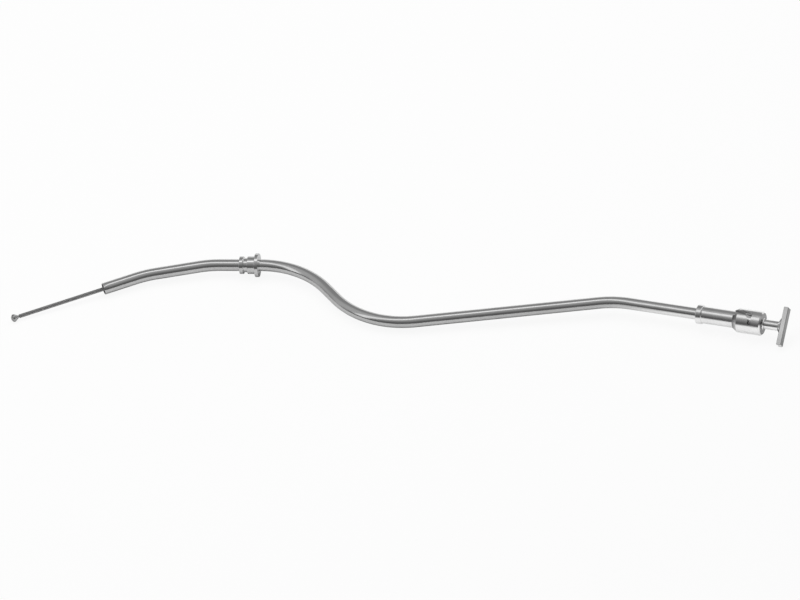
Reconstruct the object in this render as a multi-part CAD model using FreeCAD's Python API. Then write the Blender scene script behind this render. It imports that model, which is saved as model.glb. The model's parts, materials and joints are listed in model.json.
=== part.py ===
import FreeCAD, Part
import math
import os

# Oil dipstick with its guide tube. The tube is bent in one plane. A flexible measuring cable
# runs along its bore, and a twist-lock cap with a T handle closes its upper end.
# All lengths are in millimetres and all angles in degrees.

# Guide tube
tube_od = 12.7
tube_wall = 1.1
bend_radius = 100.0
end_bevel = 0.3

# Straight stretches between the bends, from the open lower end up to the neck
lower_straight = 36.8
crook_straight = 47.0
case_straight = 43.6
drop_straight = 21.1
long_straight = 197.7
neck_straight = 77.0

# Turn at each bend, positive to the left as seen from above
lower_turn = -12.8
crook_turn = -13.4
drop_turn = -49.9
level_turn = 58.4
neck_turn = -20.1

# Case adapter, from its lower end up to the bend above it
bead_d = 19.0
bead_len = 4.8
groove_d = 15.2
groove_len = 3.8
plug_d = 19.0
plug_len = 8.6
flange_d = 25.6
flange_len = 4.4
adapter_edge = 0.5
adapter_to_bend = 0.3

# Neck sleeve on the tube's upper end
collar_d = 20.8
collar_len = 6.5
sleeve_d = 18.5
sleeve_show = 35.3
sleeve_edge = 0.6

# Bayonet pins in the neck sleeve
pin_d = 3.0
pin_sink = 0.85
pin_bevel = 0.3
pin_foot_gap = 0.05
pin_setback = 4.0
pin_angle = 141.0
pin_count = 2

# Lock cap
cap_d = 26.3
cap_overlap = 24.1
cap_end = 2.6
cone_len = 5.4
mouth_lip = 0.5
cap_bevel = 1.4
cap_bore_gap = 0.1

# J slots in the cap
slot_gap = 0.25
channel_w = 4.6
channel_corner = 2.0
lead_in = 3.6
twist_range = 48.0
stop_gap = 0.3

# Seal stack between the tube's mouth and the cap's end
seal_t = 1.6
washer_t = 1.0
spring_h = 1.6
spring_t = 0.7
stack_gap = 0.3
washer_bore_gap = 0.1
washer_edge = 0.1
spring_bore_gap = 0.2

# Handle: stem, tail and bar
stem_d = 10.5
stem_show = 20.2
root_flare = 1.7
tail_d = 8.2
tail_depth = 12.0
bar_len = 42.7
bar_t = 5.3
bar_w = 9.4
bar_angle = 32.0
bar_corner = 1.0
bar_edge = 0.6
bar_blend = 2.6

# Stem clip
clip_t = 0.8
clip_groove = 0.7
clip_wall_gap = 0.3
clip_mouth = 70.0

# Cable, ferrule and swivel pin
cable_d = 4.3
cable_reach = 96.5
ferrule_d = 5.8
ferrule_len = 14.0
ferrule_grip = 8.0
ferrule_out = 1.0
ferrule_end_gap = 0.5
swivel_gap = 0.05
swivel_d = 1.5
swivel_groove = 0.9
swivel_depth = 3.0

# Level tip
tip_d = 8.3
dome_h = 2.2
tip_land = 1.5
tip_cone = 4.4
waist_d = 3.0
waist_len = 1.0
shank_d = 2.4
shank_len = 6.0

# How far a cutter runs past what it cuts
cut_over = 1.0

# Derived sizes
tube_r = tube_od / 2
bore_r = tube_r - tube_wall
sleeve_r = sleeve_d / 2
cap_r = cap_d / 2
cap_bore_r = sleeve_r + cap_bore_gap
pin_reach = cap_r - pin_sink
pin_r = pin_d / 2
stem_r = stem_d / 2
tail_r = tail_d / 2
cable_r = cable_d / 2
ferrule_r = ferrule_d / 2
swivel_r = swivel_d / 2

# Stations along the neck, measured from the collar's lower face
cap_mouth = collar_len + sleeve_show
sleeve_end = cap_mouth + cap_overlap
pin_station = sleeve_end - pin_setback
washer_station = sleeve_end + seal_t
spring_station = washer_station + washer_t
cap_floor = spring_station + 2 * spring_h
cap_face = cap_floor + cap_end
bar_near = cap_face + stem_show
bar_far = bar_near + bar_t
tail_end = sleeve_end - tail_depth
ferrule_top = tail_end + ferrule_len - ferrule_out
swivel_station = ferrule_top - swivel_depth

# The channel of each J slot ends its turn with its far wall a small gap from the pin
channel_reach = channel_w / 2 - stop_gap - pin_r
channel_angle = pin_angle - twist_range + math.degrees(math.asin(channel_reach / pin_reach))

UP = FreeCAD.Vector(0, 0, 1)
ORIGIN = FreeCAD.Vector(0, 0, 0)

# Share of a round corner's radius by which the middle of its arc lies in from either side
ARC_IN = 1 - math.sqrt(0.5)

# Two points nearer than this are the same place
SAME_PLACE = 0.01

# Points taken along an edge to find its lowest one, and tries to settle the part on three of them
RIM_POINTS = 73
SETTLE_TRIES = 20
LEVEL_ENOUGH = 1e-9


def heading_vector(heading):
    """Unit vector in the tube's plane."""
    angle = math.radians(heading)
    return FreeCAD.Vector(math.cos(angle), math.sin(angle), 0)


def along(start, heading):
    """Placement whose +Z runs up the tube, +X to its left and +Y out of the tube's plane."""
    stand = FreeCAD.Rotation(FreeCAD.Vector(1, 1, 1), 120)
    turn = FreeCAD.Rotation(UP, heading)
    return FreeCAD.Placement(start, turn.multiply(stand))


def polar(radius, angle, height=0.0):
    """Point in a run's own frame, by radius, angle and station."""
    turn = math.radians(angle)
    return FreeCAD.Vector(radius * math.cos(turn), radius * math.sin(turn), height)


def turned(outline):
    """Solid of revolution from (radius, station) points; a pair of points is an arc's middle and end."""
    edges = []
    here = outline[0]
    for step in outline[1:] + [outline[0]]:
        if isinstance(step[0], tuple):
            middle, there = step
            arc = [FreeCAD.Vector(radius, 0, station) for radius, station in (here, middle, there)]
            edges.append(Part.Arc(*arc).toShape())
        else:
            there = step
            ends = [FreeCAD.Vector(radius, 0, station) for radius, station in (here, there)]
            edges.append(Part.LineSegment(*ends).toShape())
        here = there
    return Part.Face(Part.Wire(edges)).revolve(ORIGIN, UP, 360)


def ring(inner, outer, low, high, edge=0.0):
    """Plain ring, with its outer corners bevelled where an edge is given."""
    rim = [(outer, low), (outer, high)]
    if edge:
        rim = [(outer - edge, low), (outer, low + edge), (outer, high - edge), (outer - edge, high)]
    return turned([(inner, low)] + rim + [(inner, high)])


def rod(radius, low, high):
    """Round bar along +Z."""
    return Part.makeCylinder(radius, high - low, FreeCAD.Vector(0, 0, low), UP)


def radial_rod(radius, inner, outer, angle, station):
    """Round bar that points out from the axis."""
    base = polar(inner, angle, station)
    return Part.makeCylinder(radius, outer - inner, base, polar(1, angle))


# The tube's route: straights and bends, with the place where each straight starts
def route():
    """Edges of the centreline and the placement of each straight stretch."""
    heading = -(lower_turn + crook_turn + drop_turn + level_turn)
    stretches = [
        ("lower", lower_straight, lower_turn),
        ("crook", crook_straight, crook_turn),
        ("case", case_straight, drop_turn),
        ("drop", drop_straight, level_turn),
        ("long", long_straight, neck_turn),
        ("neck", neck_straight + sleeve_end, 0.0),
    ]
    here = ORIGIN
    edges = []
    starts = {}
    for name, length, turn in stretches:
        starts[name] = along(here, heading)
        there = here + heading_vector(heading) * length
        edges.append(Part.LineSegment(here, there).toShape())
        here = there
        if turn:
            side = math.copysign(90, turn)
            centre = here + heading_vector(heading + side) * bend_radius
            middle = centre - heading_vector(heading + turn / 2 + side) * bend_radius
            there = centre - heading_vector(heading + turn + side) * bend_radius
            edges.append(Part.Arc(here, middle, there).toShape())
            here = there
            heading += turn
    return edges, starts


def swept(edges, radius):
    """Round bar along a chain of edges."""
    path = Part.Wire(edges)
    start = edges[0].Vertexes[0].Point
    direction = edges[0].tangentAt(edges[0].FirstParameter)
    section = Part.Wire(Part.makeCircle(radius, start, direction))
    return path.makePipeShell([section], True, True)


def lengthened(edges, before, after):
    """The same chain with its first and last straights made longer or shorter."""
    first_a, first_b = [vertex.Point for vertex in edges[0].Vertexes]
    last_a, last_b = [vertex.Point for vertex in edges[-1].Vertexes]
    first_way = (first_b - first_a).normalize()
    last_way = (last_b - last_a).normalize()
    first = Part.LineSegment(first_a - first_way * before, first_b).toShape()
    last = Part.LineSegment(last_a, last_b + last_way * after).toShape()
    return [first] + edges[1:-1] + [last]


def make_filler_tube(edges, starts):
    outer = swept(edges, tube_r)
    inner = swept(lengthened(edges, cut_over, cut_over), bore_r)
    bevel = turned([
        (bore_r - cut_over, -cut_over),
        (bore_r + end_bevel + cut_over, -cut_over),
        (bore_r, end_bevel),
        (bore_r - cut_over, end_bevel),
    ])
    bevel.Placement = starts["lower"]
    return outer.cut(inner).cut(bevel)


def make_case_adapter():
    """Turned fitting that plugs into the case, from its bead up to its flange."""
    groove_low = bead_len
    plug_low = groove_low + groove_len
    flange_low = plug_low + plug_len
    top = flange_low + flange_len
    edge = adapter_edge
    return turned([
        (tube_r, 0),
        (bead_d / 2 - edge, 0),
        (bead_d / 2, edge),
        (bead_d / 2, groove_low - edge),
        (bead_d / 2 - edge, groove_low),
        (groove_d / 2, groove_low),
        (groove_d / 2, plug_low),
        (plug_d / 2 - edge, plug_low),
        (plug_d / 2, plug_low + edge),
        (plug_d / 2, flange_low),
        (flange_d / 2 - edge, flange_low),
        (flange_d / 2, flange_low + edge),
        (flange_d / 2, top - edge),
        (flange_d / 2 - edge, top),
        (tube_r, top),
    ])


def make_neck_sleeve():
    """Turned sleeve with its collar, drilled for the bayonet pins."""
    collar_r = collar_d / 2
    sleeve = turned([
        (tube_r, 0),
        (collar_r - sleeve_edge, 0),
        (collar_r, sleeve_edge),
        (collar_r, collar_len - sleeve_edge),
        (collar_r - sleeve_edge, collar_len),
        (sleeve_r, collar_len),
        (sleeve_r, sleeve_end - sleeve_edge),
        (sleeve_r - sleeve_edge, sleeve_end),
        (tube_r, sleeve_end),
    ])
    for angle in pin_angles():
        sleeve = sleeve.cut(radial_rod(pin_r, tube_r, cap_r, angle, pin_station))
    return sleeve


def pin_angles():
    return [pin_angle + 360.0 * index / pin_count for index in range(pin_count)]


def make_bayonet_pin(angle):
    """Pin pressed into the sleeve's wall, with a bevelled end."""
    foot = tube_r + pin_foot_gap
    pin = radial_rod(pin_r, foot, pin_reach, angle, pin_station)
    end = polar(pin_reach, angle, pin_station)
    rim = [edge for edge in pin.Edges if edge.CenterOfMass.distanceToPoint(end) < SAME_PLACE]
    return pin.makeChamfer(pin_bevel, rim)


def j_slot(angle_of_pin):
    """Cutter of one J slot: a channel from the mouth, a corner, and a hook round to the pin."""
    turn_to_channel = channel_angle - pin_angle
    slot_r = pin_r + slot_gap
    hook_low = pin_station - slot_r
    hook_high = pin_station + slot_r
    reach = cap_r + cut_over
    half = channel_w / 2
    inside = cap_bore_r / 2

    def prism(points):
        corners = [FreeCAD.Vector(inside, side, station) for side, station in points]
        face = Part.Face(Part.makePolygon(corners + [corners[0]]))
        return face.extrude(FreeCAD.Vector(reach - inside, 0, 0))

    channel = prism([
        (-half, cap_mouth - cut_over),
        (half, cap_mouth - cut_over),
        (half, hook_high),
        (-half, hook_high),
    ])
    corner = FreeCAD.Vector((inside + reach) / 2, -half, hook_high)
    far_edge = [edge for edge in channel.Edges if edge.CenterOfMass.distanceToPoint(corner) < SAME_PLACE]
    channel = channel.makeFillet(channel_corner, far_edge)
    lead = prism([
        (0, hook_low - lead_in - half),
        (half + lead_in, hook_low),
        (half + lead_in, hook_low + slot_r),
        (0, hook_low + slot_r),
    ])
    channel = channel.fuse(lead)
    channel.rotate(ORIGIN, UP, angle_of_pin + turn_to_channel)
    base = FreeCAD.Vector(0, 0, hook_low)
    hook = Part.makeCylinder(reach, hook_high - hook_low, base, UP, -turn_to_channel)
    hook.rotate(ORIGIN, UP, angle_of_pin + turn_to_channel)
    seat = radial_rod(slot_r, inside, reach, angle_of_pin, pin_station)
    return channel.fuse([hook, seat])


def make_lock_cap():
    """Turned cap with a coned mouth, a bevelled end and one J slot for each pin."""
    mouth_r = cap_bore_r + mouth_lip
    body = turned([
        (cap_bore_r, cap_mouth),
        (mouth_r, cap_mouth),
        (cap_r, cap_mouth + cone_len),
        (cap_r, cap_face - cap_bevel),
        (cap_r - cap_bevel, cap_face),
        (tail_r, cap_face),
        (tail_r, cap_floor),
        (cap_bore_r, cap_floor),
    ])
    for angle in pin_angles():
        body = body.cut(j_slot(angle))
    return body


def make_seal_washer():
    return ring(tail_r + washer_bore_gap, sleeve_r - stack_gap, sleeve_end, washer_station)


def make_pressure_washer():
    inner = tail_r + washer_bore_gap
    return ring(inner, sleeve_r - stack_gap, washer_station, spring_station, washer_edge)


def make_disc_spring(upper):
    """Coned washer; the pair meets at the inner rims."""
    inner = tail_r + spring_bore_gap
    outer = sleeve_r - 2 * stack_gap
    rise = spring_h - spring_t
    if upper:
        low = spring_station + spring_h
        inner_low, outer_low = low, low + rise
    else:
        inner_low, outer_low = spring_station + rise, spring_station
    return turned([
        (inner, inner_low),
        (outer, outer_low),
        (outer, outer_low + spring_t),
        (inner, inner_low + spring_t),
    ])


def bar_outline():
    """Side of the T bar: its corners towards the cap are rounded."""
    half = bar_len / 2
    soft = bar_corner
    hard = bar_edge
    inset = soft * ARC_IN
    return [
        (-half + soft, bar_near),
        (half - soft, bar_near),
        ((half - inset, bar_near + inset), (half, bar_near + soft)),
        (half, bar_far - hard),
        (half - hard, bar_far),
        (-half + hard, bar_far),
        (-half, bar_far - hard),
        (-half, bar_near + soft),
        ((-half + inset, bar_near + inset), (-half + soft, bar_near)),
    ]


def outline_face(outline, depth):
    """Flat face in the XZ plane at a given Y, from points and arcs."""
    edges = []
    here = outline[0]
    for step in outline[1:]:
        if isinstance(step[0], tuple):
            arc = [FreeCAD.Vector(x, depth, z) for x, z in (here, step[0], step[1])]
            edges.append(Part.Arc(*arc).toShape())
            here = step[1]
        else:
            ends = [FreeCAD.Vector(x, depth, z) for x, z in (here, step)]
            edges.append(Part.LineSegment(*ends).toShape())
            here = step
    return Part.Face(Part.Wire(edges))


def stem_to_bar():
    """Blend from the round stem to the bar's flat side, one ruled face on each side."""
    half_long = stem_r + bar_blend
    half_wide = bar_w / 2
    low = bar_near - bar_blend
    split = math.degrees(math.atan2(half_wide, half_long))
    angles = [-split, split, 180 - split, 180 + split, 360 - split]
    arcs = []
    for start, end in zip(angles, angles[1:]):
        points = [polar(stem_r, angle, low) for angle in (start, (start + end) / 2, end)]
        arcs.append(Part.Arc(*points).toShape())
    corners = [
        FreeCAD.Vector(half_long, -half_wide, bar_near),
        FreeCAD.Vector(half_long, half_wide, bar_near),
        FreeCAD.Vector(-half_long, half_wide, bar_near),
        FreeCAD.Vector(-half_long, -half_wide, bar_near),
    ]
    rectangle = Part.makePolygon(corners + [corners[0]])
    return Part.makeLoft([Part.Wire(arcs), rectangle], True, True)


def make_tee_handle():
    """Stem, tail and bar in one piece, with the seats of the clip, ferrule and swivel pin."""
    inset = root_flare * ARC_IN
    flare = turned([
        (0, cap_face),
        (stem_r + root_flare, cap_face),
        ((stem_r + inset, cap_face + inset), (stem_r, cap_face + root_flare)),
        (0, cap_face + root_flare),
    ])
    stem = rod(stem_r, cap_face, bar_near - bar_blend)
    tail = rod(tail_r, tail_end, cap_face)
    bar = outline_face(bar_outline(), -bar_w / 2).extrude(FreeCAD.Vector(0, bar_w, 0))
    long_edges = [edge for edge in bar.Edges if abs(abs(edge.CenterOfMass.y) - bar_w / 2) < SAME_PLACE]
    bar = bar.makeFillet(bar_edge, long_edges)
    handle = stem.fuse([flare, tail, stem_to_bar(), bar]).removeSplitter()
    handle.rotate(ORIGIN, UP, bar_angle)
    socket = rod(ferrule_r + swivel_gap, tail_end - cut_over, ferrule_top + ferrule_end_gap)
    clip_seat = ring(tail_r - clip_groove, tail_r + cut_over, sleeve_end - clip_t, sleeve_end)
    return handle.cut(socket).cut(clip_seat).cut(make_swivel_pin())


def make_stem_clip():
    """Open ring in the tail's groove, under the seal washer."""
    low = sleeve_end - clip_t
    clip = ring(tail_r - clip_groove, bore_r - clip_wall_gap, low, sleeve_end)
    base = FreeCAD.Vector(0, 0, low - cut_over)
    mouth = Part.makeCylinder(bore_r, clip_t + 2 * cut_over, base, UP, clip_mouth)
    return clip.cut(mouth)


def make_swivel_pin():
    """Cross pin that passes beside the ferrule's waist, flush with the tail at both ends."""
    offset = ferrule_r - swivel_groove + 2 * swivel_gap + swivel_r
    half = math.sqrt(tail_r ** 2 - (offset + swivel_r) ** 2)
    base = FreeCAD.Vector(offset, -half, swivel_station)
    return Part.makeCylinder(swivel_r, 2 * half, base, FreeCAD.Vector(0, 1, 0))


def make_cable_ferrule():
    """Crimped end of the cable, with the groove that the swivel pin runs in."""
    waist_r = ferrule_r - swivel_groove
    half = swivel_r + 2 * swivel_gap
    low = ferrule_top - ferrule_len
    grip = low + ferrule_grip
    return turned([
        (0, grip),
        (cable_r, grip),
        (cable_r, low),
        (ferrule_r, low),
        (ferrule_r, swivel_station - half),
        (waist_r, swivel_station - half),
        (waist_r, swivel_station + half),
        (ferrule_r, swivel_station + half),
        (ferrule_r, ferrule_top),
        (0, ferrule_top),
    ])


def make_dipstick_cable(edges, starts):
    """Measuring cable from its tip end, along the bore, into the ferrule."""
    grip = ferrule_top - ferrule_len + ferrule_grip
    cable = swept(lengthened(edges, cable_reach, grip - sleeve_end), cable_r)
    socket = rod(shank_d / 2, -cable_reach, -cable_reach + shank_len)
    socket.Placement = starts["lower"]
    return cable.cut(socket)


def make_level_tip():
    """Domed button with a waist and a shank in the cable's end."""
    dome_r = tip_d / 2
    sphere_r = (dome_r ** 2 + dome_h ** 2) / (2 * dome_h)
    half_angle = math.asin(dome_r / sphere_r) / 2
    middle = (sphere_r * math.sin(half_angle), sphere_r * (1 - math.cos(half_angle)))
    land = dome_h + tip_land
    waist = land + tip_cone
    end = waist + waist_len
    tip = turned([
        (0, 0),
        (middle, (dome_r, dome_h)),
        (dome_r, land),
        (waist_d / 2, waist),
        (waist_d / 2, end),
        (shank_d / 2, end),
        (shank_d / 2, end + shank_len),
        (0, end + shank_len),
    ])
    tip.translate(FreeCAD.Vector(0, 0, -cable_reach - end))
    return tip


def placed(shape, placement):
    """Move a shape from its run's own frame into the tube's frame."""
    shape.Placement = placement.multiply(shape.Placement)
    return shape


def build():
    edges, starts = route()
    lower = starts["lower"]
    case = starts["case"]
    neck = starts["neck"]
    adapter_len = bead_len + groove_len + plug_len + flange_len
    adapter_low = case_straight - adapter_to_bend - adapter_len
    on_case = case.multiply(FreeCAD.Placement(FreeCAD.Vector(0, 0, adapter_low), FreeCAD.Rotation()))
    on_neck = neck.multiply(FreeCAD.Placement(FreeCAD.Vector(0, 0, neck_straight), FreeCAD.Rotation()))
    nodes = {
        "filler_tube": make_filler_tube(edges, starts),
        "case_adapter": placed(make_case_adapter(), on_case),
        "neck_sleeve": placed(make_neck_sleeve(), on_neck),
        "dipstick_cable": make_dipstick_cable(edges, starts),
        "level_tip": placed(make_level_tip(), lower),
        "cable_ferrule": placed(make_cable_ferrule(), on_neck),
        "lock_cap": placed(make_lock_cap(), on_neck),
        "tee_handle": placed(make_tee_handle(), on_neck),
        "seal_washer": placed(make_seal_washer(), on_neck),
        "pressure_washer": placed(make_pressure_washer(), on_neck),
        "disc_spring_lower": placed(make_disc_spring(False), on_neck),
        "disc_spring_upper": placed(make_disc_spring(True), on_neck),
        "stem_clip": placed(make_stem_clip(), on_neck),
        "swivel_pin": placed(make_swivel_pin(), on_neck),
    }
    for index, angle in enumerate(pin_angles()):
        nodes["bayonet_pin_%d" % (index + 1)] = placed(make_bayonet_pin(angle), on_neck)
    return nodes


def rim_points(shape):
    """Points along every edge of a shape, close enough together to find its lowest one."""
    return [point for edge in shape.Edges if not edge.Degenerated for point in edge.discretize(RIM_POINTS)]


def rest_placement(supports):
    """Placement that lays the part on the one plane which touches all three supports from below."""
    clouds = [rim_points(shape) for shape in supports]
    down = -UP
    for _ in range(SETTLE_TRIES):
        feet = [max(cloud, key=down.dot) for cloud in clouds]
        across = (feet[1] - feet[0]).cross(feet[2] - feet[0]).normalize()
        settled = across if across.dot(UP) < 0 else -across
        if settled.getAngle(down) < LEVEL_ENOUGH:
            break
        down = settled
    level = FreeCAD.Placement(ORIGIN, FreeCAD.Rotation(down, -UP))
    floor = level.multVec(feet[0]).z
    return FreeCAD.Placement(FreeCAD.Vector(0, 0, -floor), FreeCAD.Rotation()).multiply(level)


def lie_down(nodes):
    """Rest the part on its tip, flange and bar, with its footprint centred on the origin."""
    rest = rest_placement([nodes["level_tip"], nodes["case_adapter"], nodes["tee_handle"]])
    for shape in nodes.values():
        placed(shape, rest)
    box = Part.makeCompound(list(nodes.values())).optimalBoundingBox(False, False)
    centre = FreeCAD.Placement(FreeCAD.Vector(-box.Center.x, -box.Center.y, 0), FreeCAD.Rotation())
    for shape in nodes.values():
        placed(shape, centre)
    print("Box %.3f x %.3f x %.3f mm" % (box.XLength, box.YLength, box.ZLength))
    print("Lowest point %.4f mm" % box.ZMin)
    return centre.multiply(rest)


os.makedirs("parts", exist_ok=True)
parts = build()
pose = lie_down(parts)
neck_line = pose.multiply(route()[1]["neck"])
print("Neck line starts at", neck_line.Base, "and runs along", neck_line.Rotation.multVec(UP))
for name, shape in parts.items():
    solid = shape.Solids[0]
    print("%-18s valid %s volume %.1f mm3" % (name, solid.isValid(), solid.Volume))
    solid.exportStep("parts/%s.step" % name)
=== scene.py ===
# %% [markdown]
# # Oil dipstick in its guide tube
# A bent steel tube leads down into an engine. A measuring cable runs inside it, and a cap with a
# T handle locks on its upper end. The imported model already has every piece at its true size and
# place, so this file gives the pieces their finish, and remakes only those that need more shape
# than a solid model carries: the drawn tube, the wound cable, the two turned fittings with their
# soft shoulders, and the cap with the flared mouths of its slots.
# Everything is in metres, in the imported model's own frame.

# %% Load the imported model
import json
import math

import bmesh
import bpy
from mathutils import Matrix, Vector


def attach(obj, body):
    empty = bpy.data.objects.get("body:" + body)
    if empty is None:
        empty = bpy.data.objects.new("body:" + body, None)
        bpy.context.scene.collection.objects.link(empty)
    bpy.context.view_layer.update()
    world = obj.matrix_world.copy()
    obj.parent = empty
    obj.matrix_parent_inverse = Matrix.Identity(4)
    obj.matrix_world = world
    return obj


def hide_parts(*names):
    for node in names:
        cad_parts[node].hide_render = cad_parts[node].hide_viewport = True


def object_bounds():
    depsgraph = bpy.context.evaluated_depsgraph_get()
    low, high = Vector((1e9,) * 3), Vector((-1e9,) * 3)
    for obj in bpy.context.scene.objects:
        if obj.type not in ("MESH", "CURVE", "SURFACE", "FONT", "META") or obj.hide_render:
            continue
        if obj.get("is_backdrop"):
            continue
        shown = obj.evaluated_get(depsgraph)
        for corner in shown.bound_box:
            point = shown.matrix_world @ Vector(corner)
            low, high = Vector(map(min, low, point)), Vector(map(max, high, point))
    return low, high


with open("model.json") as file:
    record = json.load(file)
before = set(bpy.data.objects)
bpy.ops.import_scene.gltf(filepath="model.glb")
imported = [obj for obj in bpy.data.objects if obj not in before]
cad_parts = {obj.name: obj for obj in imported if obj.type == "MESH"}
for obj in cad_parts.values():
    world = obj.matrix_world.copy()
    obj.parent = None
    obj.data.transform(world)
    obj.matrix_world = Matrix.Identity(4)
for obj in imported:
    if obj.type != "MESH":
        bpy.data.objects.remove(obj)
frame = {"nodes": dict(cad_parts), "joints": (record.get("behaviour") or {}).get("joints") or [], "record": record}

cad_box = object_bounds()
nodes = frame["nodes"]
print("Nodes:", ", ".join(sorted(nodes)))
print("Size in mm:", [round((high - low) * 1000, 1) for low, high in zip(*cad_box)])

# %% [markdown]
# ## The camera
# The photograph looks down on the dipstick from the front, from far away, so the two ends look
# the same size. A very long lens at twenty-eight metres does that. The lens follows from the width
# that the picture covers at that distance, and the camera is tipped a little to one side, as it
# was then.

# %% Camera at the photograph's viewing angle
MM = 0.001
radians = math.radians

camera_distance = 28.0
camera_azimuth = radians(3.823)
camera_elevation = radians(40.285)
camera_roll = radians(-7.251)
picture_width = 0.8606
picture_centre = Vector((0.00033, 0.01502, 0.01247))
sensor_width = 36.0


def add_camera():
    camera_data = bpy.data.cameras.new("photo_camera")
    camera_data.sensor_width = sensor_width
    camera_data.lens = sensor_width * camera_distance / picture_width
    camera_data.clip_start = 0.1
    camera_data.clip_end = 200.0
    camera = bpy.data.objects.new("photo_camera", camera_data)
    bpy.context.scene.collection.objects.link(camera)
    flat = math.cos(camera_elevation)
    back = Vector((
        math.sin(camera_azimuth) * flat,
        -math.cos(camera_azimuth) * flat,
        math.sin(camera_elevation),
    ))
    level_right = Vector((math.cos(camera_azimuth), math.sin(camera_azimuth), 0.0))
    right = Matrix.Rotation(camera_roll, 3, back) @ level_right
    up = back.cross(right)
    camera.matrix_world = Matrix.Translation(picture_centre + back * camera_distance) @ Matrix(
        (right, up, back)).transposed().to_4x4()
    bpy.context.scene.camera = camera
    return camera


camera = add_camera()
print("Lens: %.1f mm" % camera.data.lens)

# %% [markdown]
# ## Light to polish by
# Polished steel shows what stands round it more than its own colour. The studio here is a ring of
# soft bands about the dipstick's long side: a dark wall low in front, a grey ceiling, a dim back
# wall and a bright strip at its foot. A long soft light runs aslant overhead. Each of them turns
# into one of the long stripes along the tube. They are painted on the world by direction, which
# costs nothing and stays put when the camera moves.

# %% Small helpers for node trees


def add_node(tree, kind, **settings):
    """New node with some of its settings and named inputs filled in."""
    made = tree.nodes.new(kind)
    for name, value in settings.items():
        if hasattr(made, name):
            setattr(made, name, value)
        else:
            made.inputs[name.replace("_", " ")].default_value = value
    return made


def math_node(tree, operation, first, second=0.0, clamp=False):
    """Math node whose inputs are numbers or other nodes' outputs."""
    made = tree.nodes.new("ShaderNodeMath")
    made.operation = operation
    made.use_clamp = clamp
    for slot, value in zip(made.inputs, (first, second)):
        if isinstance(value, (int, float)):
            slot.default_value = value
        else:
            tree.links.new(value, slot)
    return made.outputs[0]


def map_node(tree, value, start, end, low, high, kind="LINEAR"):
    """Map a value's range from start to end onto low to high, and hold it there beyond them."""
    made = tree.nodes.new("ShaderNodeMapRange")
    made.interpolation_type = kind
    for name, amount in (("From Min", start), ("From Max", end), ("To Min", low), ("To Max", high)):
        made.inputs[name].default_value = amount
    tree.links.new(value, made.inputs["Value"])
    return made.outputs[0]


def ramp_node(tree, factor, stops, smooth=True):
    """Colour ramp from (position, grey) stops."""
    made = tree.nodes.new("ShaderNodeValToRGB")
    made.color_ramp.interpolation = "EASE" if smooth else "LINEAR"
    elements = made.color_ramp.elements
    while len(elements) < len(stops):
        elements.new(0.5)
    for element, (position, grey) in zip(elements, stops):
        element.position = position
        element.color = (grey, grey, grey, 1.0)
    tree.links.new(factor, made.inputs[0])
    return made.outputs[0]


# %% World of soft bands
# Height above the front horizon, over the top and down to the back one, in degrees, and brightness
band_stops = [
    (0, 0.20),
    (6, 0.14),
    (12, 0.11),
    (20, 0.10),
    (30, 0.13),
    (50, 0.23),
    (62, 0.32),
    (76, 0.40),
    (100, 0.42),
    (114, 0.40),
    (126, 0.26),
    (160, 0.26),
    (168, 0.50),
    (174, 1.00),
    (180, 1.05),
]
pale_horizon = 0.95
horizon_top = 0.01
# A long soft light overhead, as seen from the table: which way it runs, how far behind the zenith
# it passes, where its edge starts and ends, its brightness, what is left of that on the left,
# between which directions in X it fades to it, and the height below which it isn't painted
strip_turn = radians(35.0)
strip_behind = 0.14
strip_edge = (0.06, 0.21)
strip_light = 1.25
strip_left_share = 0.74
fade_start, fade_end = -0.4, 0.0
strip_lowest = 0.3


def make_world():
    world = bpy.data.worlds.new("soft_studio")
    world.use_nodes = True
    tree = world.node_tree
    tree.nodes.clear()
    direction = tree.nodes.new("ShaderNodeTexCoord").outputs["Generated"]
    parts = tree.nodes.new("ShaderNodeSeparateXYZ")
    tree.links.new(direction, parts.inputs[0])
    forward = math_node(tree, "MULTIPLY", parts.outputs["Y"], -1.0)
    angle = math_node(tree, "ARCTAN2", parts.outputs["Z"], forward)
    share = math_node(tree, "DIVIDE", angle, math.pi)
    bands = ramp_node(tree, share, [(degrees / 180, grey) for degrees, grey in band_stops])
    slant = math_node(tree, "MULTIPLY", parts.outputs["X"], math.sin(strip_turn))
    beside = math_node(tree, "MULTIPLY", parts.outputs["Y"], math.cos(strip_turn))
    beside = math_node(tree, "SUBTRACT", math_node(tree, "SUBTRACT", beside, slant), strip_behind)
    from_middle = math_node(tree, "ABSOLUTE", beside)
    strip = map_node(tree, from_middle, strip_edge[1], strip_edge[0], 0.0, strip_light, "SMOOTHSTEP")
    fading = map_node(tree, parts.outputs["X"], fade_start, fade_end, strip_left_share, 1.0)
    overhead = math_node(tree, "GREATER_THAN", parts.outputs["Z"], strip_lowest)
    light_above = math_node(tree, "MULTIPLY", math_node(tree, "MULTIPLY", strip, overhead), fading)
    bands = math_node(tree, "MAXIMUM", bands, light_above)
    above_horizon = map_node(tree, parts.outputs["Z"], horizon_top / 2, horizon_top, 0.0, 1.0)
    blend = tree.nodes.new("ShaderNodeMix")
    blend.data_type = "RGBA"
    blend.inputs["A"].default_value = (pale_horizon,) * 3 + (1.0,)
    tree.links.new(above_horizon, blend.inputs["Factor"])
    tree.links.new(bands, blend.inputs["B"])
    light = tree.nodes.new("ShaderNodeBackground")
    tree.links.new(blend.outputs["Result"], light.inputs["Color"])
    output = tree.nodes.new("ShaderNodeOutputWorld")
    tree.links.new(light.outputs[0], output.inputs["Surface"])
    bpy.context.scene.world = world


make_world()
print("World bands:", len(band_stops))

# %% [markdown]
# ## The lamps
# Two softboxes light the table top evenly and give the dipstick its faint shadow. They are hidden
# from mirror rays, so that the steel shows the calm bands and not two hard bright rectangles.

# %% Soft lamps


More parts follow.
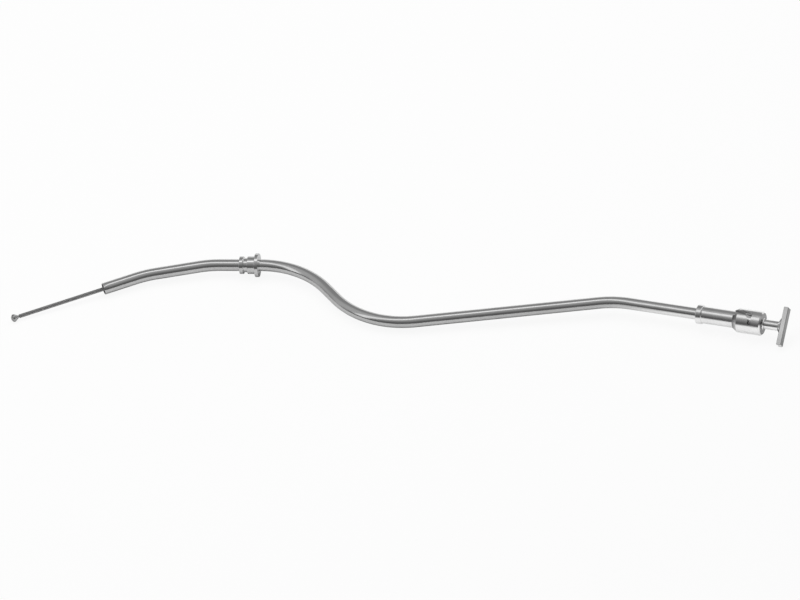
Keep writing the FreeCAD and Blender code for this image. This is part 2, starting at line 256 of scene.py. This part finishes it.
def add_softbox(name, place, target, width, height, radiance):
    """Rectangular lamp that faces a point; its power follows from how bright its face is."""
    lamp = bpy.data.lights.new(name, "AREA")
    lamp.shape = "RECTANGLE"
    lamp.size = width
    lamp.size_y = height
    lamp.energy = radiance * math.pi * width * height
    box = bpy.data.objects.new(name, lamp)
    box.location = place
    way = Vector(target) - Vector(place)
    box.rotation_mode = "QUATERNION"
    box.rotation_quaternion = way.to_track_quat("-Z", "Y")
    box.visible_camera = False
    box.visible_glossy = False
    bpy.context.scene.collection.objects.link(box)
    return box


lamps = [
    add_softbox("overhead_softbox", (-0.2, 0.5, 1.6), (0, 0, 0), 2.4, 1.4, 1.75),
    add_softbox("left_softbox", (-1.6, -1.0, 1.2), (0, 0, 0), 1.2, 1.0, 1.2),
]
bpy.context.scene.view_settings.view_transform = "Standard"
print("Lamps:", ", ".join(box.name for box in lamps))

# %% [markdown]
# ## The floor
# A plain white table top. It has to look white in the picture and in the steel, and still keep the
# dipstick's own shadow. So most of its whiteness is a glow that only camera and mirror rays see,
# and the rest is ordinary matt white that takes light and shade. Mirror rays see less of the glow,
# so that the steel darkens where it faces the shaded strip just under it. Towards the cap's end
# mirror rays see a painted pool of light, and the cap's lower side mirrors it nearly white.

# %% Floor
floor_size = 60.0
glow_in_picture = 0.90
glow_in_steel = 0.30
table_white = 0.90
# Painted pool of light on the floor, seen by mirror rays only: where in X it grows, and its glow at both ends
painted_pool_start, painted_pool_end = 0.21, 0.27
painted_pool_dim = 0.10
painted_pool_bright = 1.5


def make_floor():
    half = floor_size / 2
    mesh = bpy.data.meshes.new("table_top")
    corners = [(-half, -half, 0), (half, -half, 0), (half, half, 0), (-half, half, 0)]
    mesh.from_pydata(corners, [], [(0, 1, 2, 3)])
    floor = bpy.data.objects.new("table_top", mesh)
    bpy.context.scene.collection.objects.link(floor)
    material = bpy.data.materials.new("white_table")
    material.use_nodes = True
    tree = material.node_tree
    tree.nodes.clear()
    matt = add_node(tree, "ShaderNodeBsdfDiffuse", Color=(table_white,) * 3 + (1.0,))
    glow = add_node(tree, "ShaderNodeEmission", Color=(1.0, 1.0, 1.0, 1.0))
    rays = tree.nodes.new("ShaderNodeLightPath")
    place = tree.nodes.new("ShaderNodeSeparateXYZ")
    tree.links.new(tree.nodes.new("ShaderNodeTexCoord").outputs["Object"], place.inputs[0])
    # Painted pool of light, growing along X towards the cap's end
    painted_pool = map_node(tree, place.outputs["X"], painted_pool_start, painted_pool_end, painted_pool_dim, painted_pool_bright)
    straight = math_node(tree, "ADD", rays.outputs["Is Camera Ray"], rays.outputs["Is Transmission Ray"])
    picture = math_node(tree, "MULTIPLY", straight, glow_in_picture)
    steel = math_node(tree, "MULTIPLY", rays.outputs["Is Glossy Ray"], glow_in_steel)
    share = math_node(tree, "MAXIMUM", picture, steel, clamp=True)
    painted_pool_for_steel = math_node(tree, "MULTIPLY", painted_pool, math_node(tree, "SUBTRACT", 1.0, straight))
    tree.links.new(math_node(tree, "ADD", straight, painted_pool_for_steel), glow.inputs["Strength"])
    mix = tree.nodes.new("ShaderNodeMixShader")
    tree.links.new(share, mix.inputs[0])
    tree.links.new(matt.outputs[0], mix.inputs[1])
    tree.links.new(glow.outputs[0], mix.inputs[2])
    output = tree.nodes.new("ShaderNodeOutputMaterial")
    tree.links.new(mix.outputs[0], output.inputs["Surface"])
    mesh.materials.append(material)
    floor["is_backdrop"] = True
    return floor


make_floor()
print("Floor: %.0f m square" % floor_size)

# %% [markdown]
# ## Where the tube runs
# The tube is bent in one plane from straight stretches and arcs of one radius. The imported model
# states two lines in that plane: the cap turns about the neck's line, and the case plug lies on
# the line of the stretch through the adapter. Their cross product is the plane's normal, and from
# the neck the route is walked backwards to the open end with the real lengths and bend angles.

# %% Route of the tube's centreline
tube_od = 12.68 * MM
tube_wall = 1.1 * MM
bend_radius = 100.0 * MM
pin_to_sleeve_end = 4.0 * MM
# From the sleeve's end down to the open end: the first straight, then each turn with the straight
# that follows it
neck_run = 142.9 * MM
runs_below = [
    (radians(-20.1), 197.7 * MM),
    (radians(58.4), 21.1 * MM),
    (radians(-49.9), 43.6 * MM),
    (radians(-13.4), 47.0 * MM),
    (radians(-12.8), 36.8 * MM),
]
straight_step = 8.0 * MM
bend_step = radians(1.5)

hinge = frame["joints"][0]
neck_way = Vector(hinge["axis"]).normalized()
pin_point = Vector(hinge["pos_m"])
mounts = {mount["name"]: mount for mount in frame["record"]["mounts"]}
case_way = -Vector(mounts["case_plug"]["axis"]).normalized()
plane_normal = neck_way.cross(case_way).normalized()


def walk_route():
    """Stations down the centreline: (point, direction up the tube, distance from the sleeve's end)."""
    way = neck_way.copy()
    here = pin_point + way * pin_to_sleeve_end
    done = 0.0
    stations = [(here.copy(), way.copy(), done)]

    def straight(length):
        nonlocal here, done
        steps = math.ceil(length / straight_step)
        for _ in range(steps):
            here = here - way * (length / steps)
            done += length / steps
            stations.append((here.copy(), way.copy(), done))

    def bend(turn):
        nonlocal here, way, done
        steps = math.ceil(abs(turn) / bend_step)
        side = plane_normal.cross(way) * math.copysign(bend_radius, turn)
        centre = here + side
        back_turn = Matrix.Rotation(-turn / steps, 3, plane_normal)
        for _ in range(steps):
            here = centre + back_turn @ (here - centre)
            way = back_turn @ way
            done += bend_radius * abs(turn) / steps
            stations.append((here.copy(), way.copy(), done))

    straight(neck_run)
    for turn, length in runs_below:
        bend(turn)
        straight(length)
    return stations


route = walk_route()
print("Route: %d stations, %.1f mm long" % (len(route), route[-1][2] * 1000))
print("Open end at", [round(x, 4) for x in route[-1][0]])

# %% [markdown]
# ## The drawn tube
# The real one is seamless tube, drawn through a die and then bent, so its polish has fine lines
# along its length. A ring of points is set at each station and joined to the next. The same ring,
# smaller, makes the bore, and small bevels close the wall at both ends. Texture coordinates are
# laid on as it is built: round the tube in one direction, metres along it in the other.
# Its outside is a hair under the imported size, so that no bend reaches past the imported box.

# %% Build the tube
tube_segments = 96
end_bevel = 0.3 * MM


def ring_points(station, radius, count):
    """Points of a circle round the route, the first one on the plane's normal."""
    point, way, _ = station
    across = plane_normal.cross(way)
    angles = [math.tau * index / count for index in range(count)]
    return [point + (plane_normal * math.cos(a) + across * math.sin(a)) * radius for a in angles]


def mesh_from_chains(name, chains):
    """One mesh of chains of rings. A chain is its rings, the length at each, and how it ends."""
    points = []
    faces = []
    texture = []
    for rings, lengths, ends in chains:
        first = len(points)
        count = len(rings[0])
        points += [point for ring in rings for point in ring]
        pairs = [(index, index + 1) for index in range(len(rings) - 1)]
        if ends == "joined":
            pairs.append((len(rings) - 1, 0))
        for low, high in pairs:
            for side in range(count):
                after = (side + 1) % count
                corners = [(low, side), (low, after), (high, after), (high, side)]
                faces.append([first + ring * count + corner for ring, corner in corners])
                near, far = side / count, (side + 1) / count
                texture += [(near, lengths[low]), (far, lengths[low])]
                texture += [(far, lengths[high]), (near, lengths[high])]
        if ends == "closed":
            last = first + (len(rings) - 1) * count
            faces.append([first + side for side in reversed(range(count))])
            faces.append([last + side for side in range(count)])
            texture += [(0.5, lengths[0])] * count + [(0.5, lengths[-1])] * count
    mesh = bpy.data.meshes.new(name)
    mesh.from_pydata(points, [], faces)
    layer = mesh.uv_layers.new(name="along")
    layer.data.foreach_set("uv", [value for pair in texture for value in pair])
    # Rings can run either way along a chain, so all faces are turned outwards at the end
    work = bmesh.new()
    work.from_mesh(mesh)
    bmesh.ops.recalc_face_normals(work, faces=work.faces)
    work.to_mesh(mesh)
    work.free()
    mesh.shade_smooth()
    mesh.update()
    piece = bpy.data.objects.new(name, mesh)
    bpy.context.scene.collection.objects.link(piece)
    return piece


def moved_station(station, distance):
    """The same station, moved along its own direction."""
    point, way, done = station
    return (point + way * distance, way, done - distance)


def build_tube():
    outer = tube_od / 2
    bore = outer - tube_wall
    inside_first = moved_station(route[0], -end_bevel)
    inside_last = moved_station(route[-1], end_bevel)
    outside = [(station, outer) for station in route[1:-1]]
    inside = [(station, bore) for station in reversed(route[1:-1])]
    profile = [(route[0], outer - end_bevel), (inside_first, outer)]
    profile += outside
    profile += [(inside_last, outer), (route[-1], outer - end_bevel), (route[-1], bore + end_bevel)]
    profile += [(inside_last, bore)]
    first_inside = len(profile) - 3
    profile += inside
    profile += [(inside_first, bore), (route[0], bore + end_bevel)]
    rings = [ring_points(station, radius, tube_segments) for station, radius in profile]
    lengths = [station[2] for station, _ in profile]
    tube = mesh_from_chains("drawn_tube", [(rings, lengths, "joined")])
    for face in tube.data.polygons:
        face.material_index = int(face.index // tube_segments >= first_inside)
    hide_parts("filler_tube")
    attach(tube, "guide_tube")
    return tube


tube = build_tube()
print("Tube: %d faces" % len(tube.data.polygons))

# %% [markdown]
# ## Turned pieces with soft shoulders
# The case adapter and the neck sleeve were turned from bar, and the tool's nose and the polishing
# wheel left their shoulders round. On polished steel such a shoulder shows as a bright rim, since it
# mirrors the white table beside the piece. So both are turned again here: an outline of radii and
# stations, each corner with its own rounding, is carried round the axis.

# %% Lathe
turned_segments = 96
round_steps = 5
flat_hold = 0.04 * MM


def rounded_outline(corners):
    """Points of an outline whose corners are (radius, station, rounding), all in millimetres."""
    outline = []
    for index, (radius, station, rounding) in enumerate(corners):
        corner = Vector((radius, station)) * MM
        before = Vector(corners[index - 1][:2]) * MM
        after = Vector(corners[(index + 1) % len(corners)][:2]) * MM
        start = corner + (before - corner).normalized() * rounding * MM
        end = corner + (after - corner).normalized() * rounding * MM
        # A point just outside each rounding keeps the flats beside it flat when shaded smooth
        outline.append(start + (before - corner).normalized() * flat_hold)
        for step in range(round_steps + 1):
            t = step / round_steps
            outline.append(start * (1 - t) ** 2 + corner * 2 * t * (1 - t) + end * t ** 2)
        outline.append(end + (after - corner).normalized() * flat_hold)
    return outline


def turn_piece(name, node, base, way, corners):
    """Mesh turned about an axis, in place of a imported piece."""
    outline = rounded_outline(corners)
    rings = []
    for radius, station in outline:
        rings.append(ring_points((base + way * station, way, 0.0), radius, turned_segments))
    piece = mesh_from_chains(name, [(rings, [station for _, station in outline], "joined")])
    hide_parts(node)
    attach(piece, "guide_tube")
    print("%s: %d faces" % (name, len(piece.data.polygons)))
    return piece


# %% Case adapter and neck sleeve
plug_middle = 13.15 * MM
collar_to_pins = 61.9 * MM
case_point = Vector(mounts["case_plug"]["pos_m"])
adapter_base = case_point - case_way * plug_middle
sleeve_base = pin_point - neck_way * collar_to_pins

adapter = turn_piece("turned_adapter", "case_adapter", adapter_base, case_way, [
    (6.34, 0.2, 0.1),
    (9.49, 0.2, 0.5),
    (9.49, 4.5, 0.7),
    (7.6, 4.7, 0.3),
    (7.6, 8.8, 0.3),
    (9.49, 8.9, 0.4),
    (9.49, 17.2, 0.2),
    (12.79, 17.2, 0.4),
    (12.79, 21.3, 0.8),
    (6.34, 21.3, 0.1),
])
sleeve = turn_piece("turned_sleeve", "neck_sleeve", sleeve_base, neck_way, [
    (6.34, 0.0, 0.1),
    (10.39, 0.0, 0.7),
    (10.39, 6.5, 1.1),
    (9.25, 6.5, 0.05),
    (9.25, 65.89, 0.5),
    (6.34, 65.89, 0.1),
])

# %% [markdown]
# ## The flared mouth of the slots
# Each slot in the cap is wider at the mouth than at the pin, so that a hand finds the pin without
# looking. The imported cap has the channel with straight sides. So a copy of it takes its place, and
# a wedge that follows the cap's curve is subtracted from the copy, once for each slot, to slant the
# side that faces away from the hook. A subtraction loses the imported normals, so the copy's edges
# are marked sharp again by their angle.

# %% Cut the slanted sides
cap_mouth_from_pins = -20.1 * MM
flare_end_from_pins = -4.4 * MM
straight_side = radians(86.0)
flare_side = radians(58.0)
flare_steps = 10
cut_inside, cut_outside = 8.0 * MM, 15.0 * MM
cut_past_mouth = 1.0 * MM
sharp_angle = radians(28.0)


def flare_cutter(index):
    """Wedge in the cap's wall, seen along its axis from one angle to another."""
    across = plane_normal.cross(neck_way)
    low = cap_mouth_from_pins - cut_past_mouth
    rings = []
    for step in range(flare_steps + 1):
        share = step / flare_steps
        angle = flare_side + (straight_side - flare_side) * share + math.pi * index
        outward = across * math.cos(angle) + plane_normal * math.sin(angle)
        top = cap_mouth_from_pins + (flare_end_from_pins - cap_mouth_from_pins) * share
        corners = [(cut_inside, low), (cut_outside, low), (cut_outside, top), (cut_inside, top)]
        rings.append([pin_point + outward * radius + neck_way * station for radius, station in corners])
    return mesh_from_chains("flare_cutter_%d" % (index + 1), [(rings, [0.0] * len(rings), "closed")])


def flared_cap():
    """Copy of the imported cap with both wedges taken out, in its place."""
    packed = nodes["lock_cap"]
    piece = bpy.data.objects.new("flared_cap", packed.data.copy())
    bpy.context.scene.collection.objects.link(piece)
    piece.matrix_world = packed.matrix_world
    cutters = [flare_cutter(index) for index in range(2)]
    for cutter in cutters:
        cut = piece.modifiers.new(cutter.name, "BOOLEAN")
        cut.operation = "DIFFERENCE"
        cut.solver = "EXACT"
        cut.object = cutter
    evaluated = piece.evaluated_get(bpy.context.evaluated_depsgraph_get())
    mesh = bpy.data.meshes.new_from_object(evaluated)
    piece.modifiers.clear()
    piece.data = mesh
    for cutter in cutters:
        bpy.data.objects.remove(cutter)
    if "custom_normal" in mesh.attributes:
        mesh.attributes.remove(mesh.attributes["custom_normal"])
    mesh.shade_smooth()
    mesh.set_sharp_from_angle(angle=sharp_angle)
    mesh.materials.clear()
    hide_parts("lock_cap")
    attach(piece, "locking_cap")
    return piece


cap = flared_cap()
print("Cap: %d faces" % len(cap.data.polygons))

# %% [markdown]
# ## The wound cable
# The dipstick itself is a cable, because a stiff rod could not follow the bends. Six thin steel
# wires are wound side by side round a core, as in the inner shaft of an old speedometer drive. The
# oil's level is read on these wires. Only the stretch that shows is wound here, with a little more
# inside the bore; further up the cable is one plain rod. Each wire is a helix about the straight
# line of the tube's open end, swept by a small circle that stands square to the wire's own path.

# %% Sizes of the cable
cable_radius = 2.15 * MM
cable_reach = 96.5 * MM
cable_in_ferrule = 5.0 * MM
core_radius = 1.72 * MM
wire_radius = 0.29 * MM
wire_count = 6
wire_lead = 3.8 * MM
wound_in_bore = 25.0 * MM
steps_per_turn = 20
wire_sides = 8
socket_radius = 1.2 * MM
socket_depth = 6.0 * MM

tip_end = moved_station(route[-1], -cable_reach)
wound_length = cable_reach + wound_in_bore
print("Turns of each wire: %.1f" % (wound_length / wire_lead))

# %% Core and wires


def core_chain():
    """Rod with a socket for the tip at its low end, thicker where it is not wound."""
    socket_floor = moved_station(tip_end, socket_depth)
    shoulder = moved_station(tip_end, wound_length)
    top = moved_station(route[0], -cable_in_ferrule)
    profile = [(socket_floor, socket_radius), (tip_end, socket_radius), (tip_end, core_radius)]
    profile += [(shoulder, core_radius), (shoulder, cable_radius)]
    profile += [(station, cable_radius) for station in reversed(route) if station[2] < shoulder[2] - MM]
    profile[-1] = (top, cable_radius)
    rings = [ring_points(station, radius, 32) for station, radius in profile]
    return rings, [station[2] for station, _ in profile], "closed"


def wire_chain(start_angle):
    """One wire from the tip end up into the bore."""
    base, way, _ = tip_end
    across = plane_normal.cross(way)
    reach = cable_radius - wire_radius
    steps = round(wound_length / wire_lead * steps_per_turn)
    rings = []
    lengths = []
    for step in range(steps + 1):
        along = (wound_length - 2 * wire_radius) * step / steps + wire_radius
        angle = start_angle + math.tau * along / wire_lead
        outward = plane_normal * math.cos(angle) + across * math.sin(angle)
        sideways = across * math.cos(angle) - plane_normal * math.sin(angle)
        path = (sideways * math.tau * reach + way * wire_lead).normalized()
        beside = path.cross(outward)
        middle = base + way * along + outward * reach
        turns = [math.tau * side / wire_sides for side in range(wire_sides)]
        rings.append([middle + (outward * math.cos(t) + beside * math.sin(t)) * wire_radius for t in turns])
        lengths.append(along * math.hypot(math.tau * reach, wire_lead) / wire_lead)
    return rings, lengths, "closed"


def build_cable():
    chains = [core_chain()]
    chains += [wire_chain(math.tau * index / wire_count) for index in range(wire_count)]
    cable = mesh_from_chains("wound_cable", chains)
    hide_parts("dipstick_cable")
    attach(cable, "guide_tube")
    return cable


cable = build_cable()
print("Cable: %d faces" % len(cable.data.polygons))

# %% [markdown]
# ## One recipe for all the steel
# Every steel piece starts from the same recipe: a bare metal whose brightness drifts a little from
# place to place, whose roughness follows the same soft cloud, and whose fine lines are a tiny bump.
# What differs from piece to piece is which way the fine lines run.

# %% Steel recipe


def new_material(name):
    """Empty material with its shader and output joined."""
    material = bpy.data.materials.new(name)
    material.use_nodes = True
    tree = material.node_tree
    tree.nodes.clear()
    shader = tree.nodes.new("ShaderNodeBsdfPrincipled")
    output = tree.nodes.new("ShaderNodeOutputMaterial")
    tree.links.new(shader.outputs[0], output.inputs["Surface"])
    return material, tree, shader


def noise(tree, place, scale, detail=3.0):
    made = add_node(tree, "ShaderNodeTexNoise", Scale=scale, Detail=detail)
    tree.links.new(place, made.inputs["Vector"])
    return made.outputs[0]


def spread(tree, value, low, high, start=0.3, end=0.7):
    """Map a noise onto low to high. It stays near its middle, so 0.3 to 0.7 is most of it."""
    return map_node(tree, value, start, end, low, high)


def stretched(tree, coordinate, scale):
    made = tree.nodes.new("ShaderNodeMapping")
    made.inputs["Scale"].default_value = scale
    tree.links.new(coordinate, made.inputs["Vector"])
    return made.outputs[0]


def finish_metal(tree, shader, cloud, line, grey, roughness, depth, painted_shade=None):
    """Drive colour and roughness by a soft cloud, darken the colour by any painted shade given, and bump by fine
    lines.
    """
    shader.inputs["Metallic"].default_value = 1.0
    tone = spread(tree, cloud, grey * 0.95, grey * 1.04)
    if painted_shade is not None:
        tone = math_node(tree, "MULTIPLY", tone, painted_shade)
    colour = tree.nodes.new("ShaderNodeCombineColor")
    for channel in ("Red", "Green", "Blue"):
        tree.links.new(tone, colour.inputs[channel])
    tree.links.new(colour.outputs[0], shader.inputs["Base Color"])
    half_cloud = math_node(tree, "MULTIPLY", cloud, 0.5)
    both = math_node(tree, "ADD", half_cloud, math_node(tree, "MULTIPLY", line, 0.5))
    tree.links.new(spread(tree, both, roughness * 0.75, roughness * 1.25), shader.inputs["Roughness"])
    bump = add_node(tree, "ShaderNodeBump", Strength=1.0, Distance=depth)
    tree.links.new(line, bump.inputs["Height"])
    tree.links.new(bump.outputs[0], shader.inputs["Normal"])


print("Recipe ready")

# %% [markdown]
# ## The tube's finish
# Drawn tube is polished lengthwise, so its lines follow the bends. The texture coordinates laid
# on with the mesh do that: the noise is squeezed round the tube and stretched along it. The bore was
# never polished. It is dull, and painted nearly black as painted shade inside the tube.

# %% Drawn steel and the dark bore
tube_grey = 0.75
tube_roughness = 0.15
tube_lines = (60.0, 12.0, 1.0)
tube_line_depth = 0.01 * MM
tube_cloud = 35.0


def drawn_steel():
    material, tree, shader = new_material("drawn_steel")
    along = tree.nodes.new("ShaderNodeUVMap")
    along.uv_map = "along"
    lines = noise(tree, stretched(tree, along.outputs[0], tube_lines), 1.0, 4.0)
    place = tree.nodes.new("ShaderNodeTexCoord").outputs["Object"]
    cloud = noise(tree, place, tube_cloud)
    finish_metal(tree, shader, cloud, lines, tube_grey, tube_roughness, tube_line_depth)
    return material


def painted_shade_bore():
    material, tree, shader = new_material("painted_shade_bore")
    place = tree.nodes.new("ShaderNodeTexCoord").outputs["Object"]
    bore_blotches = noise(tree, place, 260.0, 5.0)
    # Painted shade: the bore's colour is nearly black, in blotches
    colour = ramp_node(tree, bore_blotches, [(0.3, 0.02), (0.7, 0.07)])
    tree.links.new(colour, shader.inputs["Base Color"])
    tree.links.new(spread(tree, bore_blotches, 0.35, 0.6), shader.inputs["Roughness"])
    shader.inputs["Metallic"].default_value = 0.6
    return material


for material in (drawn_steel(), painted_shade_bore()):
    tube.data.materials.append(material)
print("Tube materials:", [material.name for material in tube.data.materials])

# %% [markdown]
# ## Turned steel
# The adapter, sleeve, cap, stem and tip were turned on a lathe. The tool leaves rings, so their
# fine lines go round the axis: they depend only on how far along the axis and how far out a point
# is. Both come from dot products with the axis of that piece's own stretch of the tube. The faces
# that stand square to the axis get painted shade, a darker colour in place of the dark reflections
# they show. So do the cap's bore and the walls of its slots, as painted shade in its hollows.

# %% Station and radius about an axis


def vector_node(tree, operation, first, second=(0.0, 0.0, 0.0)):
    """Vector Math node between a socket and a fixed vector."""
    made = tree.nodes.new("ShaderNodeVectorMath")
    made.operation = operation
    made.inputs[1].default_value = second
    tree.links.new(first, made.inputs[0])
    return made.outputs["Vector" if operation == "SUBTRACT" else "Value"]


def about_axis(tree, place, point, way):
    """Distance along an axis and out from it, as sockets."""
    offset = vector_node(tree, "SUBTRACT", place, point)
    station = vector_node(tree, "DOT_PRODUCT", offset, way)
    distance = vector_node(tree, "LENGTH", offset)
    square = math_node(tree, "POWER", distance, 2.0)
    along = math_node(tree, "POWER", math_node(tree, "ABSOLUTE", station), 2.0)
    out = math_node(tree, "SUBTRACT", square, along)
    return station, math_node(tree, "SQRT", math_node(tree, "MAXIMUM", out, 0.0))


def painted_face_shading(tree, normal, way, painted_face_tone):
    """1 on the polished barrel, falling to the painted face tone on faces square to the axis, as painted shade.

    A cone that faces down the axis, as at the cap's mouth, lies between and gets half the painted shade."""
    along = vector_node(tree, "DOT_PRODUCT", normal, way)
    share = map_node(tree, along, -1.0, 1.0, 0.0, 1.0)
    half = (1 + painted_face_tone) / 2
    stops = [(0.0, painted_face_tone), (0.24, half), (0.35, 1.0), (0.86, 1.0), (0.95, painted_face_tone)]
    return ramp_node(tree, share, stops, smooth=False)


# %% Turned steel about any axis
ring_scale = 2500.0
cloud_scale = 90.0
line_depth = 0.004 * MM
# Painted shade in the cap's hollows: the share of its colour that is left there
painted_hollow_tone = 0.5


def turned_steel(name, point, way, grey, roughness, painted_face_tone=0.35, inside=None):
    """Steel with rings about an axis. With inside, painted shade darkens the colour below its first
    radius and fades out by its second; beyond its third value, a station, there is none."""
    material, tree, shader = new_material(name)
    source = tree.nodes.new("ShaderNodeTexCoord")
    place = source.outputs["Object"]
    station, radius = about_axis(tree, place, point, way)
    profile = tree.nodes.new("ShaderNodeCombineXYZ")
    tree.links.new(station, profile.inputs["X"])
    tree.links.new(radius, profile.inputs["Y"])
    rings = noise(tree, profile.outputs[0], ring_scale, 2.0)
    cloud = noise(tree, place, cloud_scale)
    # Painted shade on faces square to the axis
    painted_shade = painted_face_shading(tree, source.outputs["Normal"], way, painted_face_tone)
    # Painted shade in the hollows of the cap: its bore and the walls of its slots
    if inside is not None:
        low, high, limit = inside
        painted_hollow_shade = map_node(tree, radius, low, high, painted_hollow_tone, 1.0)
        beyond = map_node(tree, station, limit, limit + MM, 0.0, 1.0)
        painted_shade = math_node(tree, "MULTIPLY", painted_shade, math_node(tree, "MAXIMUM", painted_hollow_shade, beyond))
    finish_metal(tree, shader, cloud, rings, grey, roughness, line_depth, painted_shade)
    return material


def give(names, material):
    """Put one material on several nodes, in place of what they came with."""
    for name in names:
        mesh = nodes[name].data
        mesh.materials.clear()
        mesh.materials.append(material)
    print(material.name, "on", ", ".join(names))


end_point, end_way, _ = route[-1]
adapter.data.materials.append(turned_steel("adapter_steel", case_point, case_way, 0.80, 0.12, painted_face_tone=1.0))
sleeve.data.materials.append(turned_steel("sleeve_steel", pin_point, neck_way, 0.80, 0.15, painted_face_tone=1.0))
# The cap's bore and slot walls are painted darker, as painted shade, short of 8 mm past the pins
cap.data.materials.append(turned_steel(
    "cap_steel", pin_point, neck_way, 0.84, 0.16, painted_face_tone=0.22, inside=(10.6 * MM, 12.7 * MM, 8.0 * MM)))
give(["level_tip"], turned_steel("tip_steel", end_point, end_way, 0.55, 0.13, painted_face_tone=0.8))

# %% [markdown]
# ## The T handle
# Stem and bar are one forging, turned on the stem and ground along the bar, so the bar's lines run
# along its length. The two patterns meet in the blend under the bar. The bar's middle is painted
# brighter than its ends, a painted sheen, and its faces square to the stem get painted shade.

# %% Handle steel
bar_angle = radians(32.0)
bar_foot = 30.0 * MM
bar_start = 32.6 * MM
bar_half = 21.3 * MM
bar_scale = 3000.0
bar_stretch = 0.03
# Painted sheen: how much of the colour is left at the bar's ends
painted_bar_end_tone = 0.85
# Painted shade on the bar's faces square to the stem
bar_painted_face_tone = 0.22

left_of_neck = plane_normal.cross(neck_way)
bar_way = left_of_neck * math.cos(bar_angle) + plane_normal * math.sin(bar_angle)


def dot_with(tree, place, way):
    """How far a point lies along a direction, from the pins' point on the axis."""
    return vector_node(tree, "DOT_PRODUCT", vector_node(tree, "SUBTRACT", place, pin_point), way)


def handle_steel(grey, roughness):
    material, tree, shader = new_material("handle_steel")
    source = tree.nodes.new("ShaderNodeTexCoord")
    place = source.outputs["Object"]
    station, radius = about_axis(tree, place, pin_point, neck_way)
    profile = tree.nodes.new("ShaderNodeCombineXYZ")
    tree.links.new(station, profile.inputs["X"])
    tree.links.new(radius, profile.inputs["Y"])
    rings = noise(tree, profile.outputs[0], ring_scale, 2.0)
    along_bar = dot_with(tree, place, bar_way)
    ground = tree.nodes.new("ShaderNodeCombineXYZ")
    tree.links.new(math_node(tree, "MULTIPLY", along_bar, bar_stretch), ground.inputs["X"])
    tree.links.new(station, ground.inputs["Y"])
    tree.links.new(dot_with(tree, place, bar_way.cross(neck_way)), ground.inputs["Z"])
    lengthwise = noise(tree, ground.outputs[0], bar_scale, 2.0)
    on_bar = map_node(tree, station, bar_foot, bar_start, 0.0, 1.0)
    from_rings = math_node(tree, "MULTIPLY", rings, math_node(tree, "SUBTRACT", 1.0, on_bar))
    lines = math_node(tree, "ADD", from_rings, math_node(tree, "MULTIPLY", lengthwise, on_bar))
    # Painted sheen: the bar's middle is painted brighter than its ends
    from_middle = math_node(tree, "ABSOLUTE", along_bar)
    painted_bar_sheen = map_node(tree, from_middle, 0.2 * bar_half, bar_half, 1.0, painted_bar_end_tone)
    painted_shade = painted_face_shading(tree, source.outputs["Normal"], neck_way, bar_painted_face_tone)
    painted_shade = math_node(tree, "MULTIPLY", painted_shade, painted_bar_sheen)
    finish_metal(tree, shader, noise(tree, place, cloud_scale), lines, grey, roughness, line_depth, painted_shade)
    return material


give(["tee_handle"], handle_steel(0.84, 0.18))

# %% [markdown]
# ## Dull and dark pieces
# The cable's wires are plain spring wire, darkened by oil, with painted shade in the grooves between
# them. The pins are ground, the springs are left as they were blued, and the seal is rubber.

# %% Wire, pins, springs and seal
wire_grey = 0.55
wire_roughness = 0.36
wire_lines = (8.0, 900.0, 1.0)
wire_cloud = 300.0
# Painted shade at the bottom of the grooves between the wires: the share of colour left there
painted_groove_tone = 0.25


def wire_steel():
    material, tree, shader = new_material("wire_steel")
    place = tree.nodes.new("ShaderNodeTexCoord").outputs["Object"]
    along = tree.nodes.new("ShaderNodeUVMap")
    along.uv_map = "along"
    lines = noise(tree, stretched(tree, along.outputs[0], wire_lines), 1.0)
    radius = about_axis(tree, place, end_point, end_way)[1]
    # Painted shade: darker deeper in the grooves, towards the core
    painted_groove_shade = map_node(tree, radius, core_radius, cable_radius - wire_radius / 2, painted_groove_tone, 1.0)
    cloud = noise(tree, place, wire_cloud)
    finish_metal(tree, shader, cloud, lines, wire_grey, wire_roughness, line_depth, painted_groove_shade)
    return material


def rubber():
    material, tree, shader = new_material("seal_rubber")
    place = tree.nodes.new("ShaderNodeTexCoord").outputs["Object"]
    grain = noise(tree, place, 900.0, 4.0)
    tree.links.new(ramp_node(tree, grain, [(0.3, 0.02), (0.7, 0.035)]), shader.inputs["Base Color"])
    tree.links.new(spread(tree, grain, 0.5, 0.7), shader.inputs["Roughness"])
    return material


cable.data.materials.append(wire_steel())
give(["bayonet_pin_1", "bayonet_pin_2", "swivel_pin"],
     turned_steel("ground_pin", pin_point, neck_way, 0.55, 0.2))
give(["cable_ferrule"], turned_steel("crimped_ferrule", pin_point, neck_way, 0.5, 0.25))
give(["pressure_washer", "disc_spring_lower", "disc_spring_upper", "stem_clip"],
     turned_steel("blued_spring", pin_point, neck_way, 0.3, 0.3, painted_face_tone=0.9))
give(["seal_washer"], rubber())

# %% [markdown]
# ## Sizes, and the end
# The box of the imported model and the box of what is shown now are set side by side, and the
# largest difference between them is printed, to see that nothing sticks out.

# %% Sizes side by side, and the end
shown_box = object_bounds()
boxes = {"cad": [list(corner) for corner in cad_box], "visual": [list(corner) for corner in shown_box]}
pairs = zip(boxes["visual"][0] + boxes["visual"][1], boxes["cad"][0] + boxes["cad"][1])
print("Largest difference in mm: %.4f" % max(abs(shown - packed) * 1000 for shown, packed in pairs))
